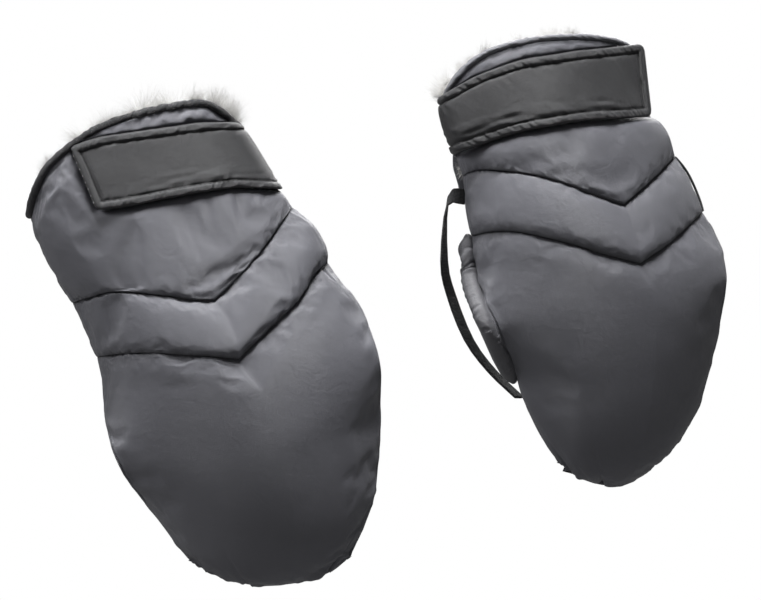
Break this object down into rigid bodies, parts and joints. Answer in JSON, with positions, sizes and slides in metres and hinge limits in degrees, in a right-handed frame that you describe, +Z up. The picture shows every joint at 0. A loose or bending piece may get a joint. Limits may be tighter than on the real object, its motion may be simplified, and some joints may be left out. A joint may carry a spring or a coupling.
{
  "type": "stroller hand muff",
  "caption": "Padded hand muffs that close round a push handle: quilted nylon shell, deep pile lining, wide cuff strap, elastic side hem and a back flap on hook and loop tape.",
  "frame": {"origin": "where the axis of the tube that carries the muffs passes midway between them", "axes": "+X along the pair, to the right as seen from the quilted fronts; +Y backwards, from the fronts to the flaps; +Z up"},
  "size_m": [0.4478, 0.1371, 0.3537],
  "materials": {
    "shell_nylon": "satin woven nylon",
    "wadding": "soft matte fibre",
    "pile_lining": "deep matte pile",
    "binding_tape": "matte woven tape",
    "elastic_hem": "gathered satin nylon",
    "strap_fabric": "satin woven nylon",
    "webbing": "matte ribbed webbing",
    "hook_and_loop_tape": "matte hook and loop"
  },
  "bodies": {
    "left_mitt": {"left_front_shell": "shell_nylon", "left_front_wadding": "wadding", "left_front_pile": "pile_lining", "left_cuff_back_shell": "shell_nylon", "left_cuff_back_wadding": "wadding", "left_cuff_back_pile": "pile_lining", "left_pouch_back_shell": "shell_nylon", "left_pouch_back_wadding": "wadding", "left_pouch_back_pile": "pile_lining", "left_cuff_binding": "binding_tape", "left_pouch_binding": "binding_tape", "left_side_elastic": "elastic_hem", "left_side_loop": "webbing", "left_cuff_loop_patch": "hook_and_loop_tape", "left_pouch_loop_tape": "hook_and_loop_tape"},
    "left_strap": {"left_cuff_strap": "strap_fabric", "left_strap_hook_patch": "hook_and_loop_tape"},
    "left_flap": {"left_back_flap_shell": "shell_nylon", "left_back_flap_pile": "pile_lining", "left_flap_hook_tape": "hook_and_loop_tape"},
    "left_hanger": {"left_hanger_webbing": "webbing"},
    "right_mitt": {"right_front_shell": "shell_nylon", "right_front_wadding": "wadding", "right_front_pile": "pile_lining", "right_cuff_back_shell": "shell_nylon", "right_cuff_back_wadding": "wadding", "right_cuff_back_pile": "pile_lining", "right_pouch_back_shell": "shell_nylon", "right_pouch_back_wadding": "wadding", "right_pouch_back_pile": "pile_lining", "right_cuff_binding": "binding_tape", "right_pouch_binding": "binding_tape", "right_side_elastic": "elastic_hem", "right_side_loop": "webbing", "right_cuff_loop_patch": "hook_and_loop_tape", "right_pouch_loop_tape": "hook_and_loop_tape"},
    "right_strap": {"right_cuff_strap": "strap_fabric", "right_strap_hook_patch": "hook_and_loop_tape"},
    "right_flap": {"right_back_flap_shell": "shell_nylon", "right_back_flap_pile": "pile_lining", "right_flap_hook_tape": "hook_and_loop_tape"},
    "right_hanger": {"right_hanger_webbing": "webbing"}
  },
  "joints": [
    {"name": "right_mitt_along_tube", "type": "slide", "parent": "left_mitt", "child": "right_mitt", "axis": [0.8939, 0.4219, 0.1512], "range_m": [-0.01, 0.06]},
    {"name": "left_strap_peel", "type": "hinge", "parent": "left_mitt", "child": "left_strap", "pos_m": [-0.1479, 0.04535, 0.12747], "axis": [-0.5441, 0.0633, 0.8366], "range_deg": [0, 80]},
    {"name": "left_flap_lift", "type": "hinge", "parent": "left_mitt", "child": "left_flap", "pos_m": [-0.12879, 0.0349, -0.00154], "axis": [0.9222, 0.1036, 0.3726], "range_deg": [0, 90]},
    {"name": "left_hanger_swing", "type": "hinge", "parent": "left_mitt", "child": "left_hanger", "pos_m": [-0.07297, 0.03484, 0.02425], "axis": [0.9222, 0.1036, 0.3726], "range_deg": [0, 80]},
    {"name": "right_strap_peel", "type": "hinge", "parent": "right_mitt", "child": "right_strap", "pos_m": [0.03835, 0.03783, 0.15947], "axis": [0.1968, -0.0777, -0.9774], "range_deg": [0, 75]},
    {"name": "right_flap_lift", "type": "hinge", "parent": "right_mitt", "child": "right_flap", "pos_m": [0.11138, 0.06022, 0.06789], "axis": [0.8939, 0.4219, 0.1512], "range_deg": [0, 90]},
    {"name": "right_hanger_swing", "type": "hinge", "parent": "right_mitt", "child": "right_hanger", "pos_m": [0.02395, -0.00619, 0.10206], "axis": [0.8939, 0.4219, 0.1512], "range_deg": [0, 60]}
  ]
}
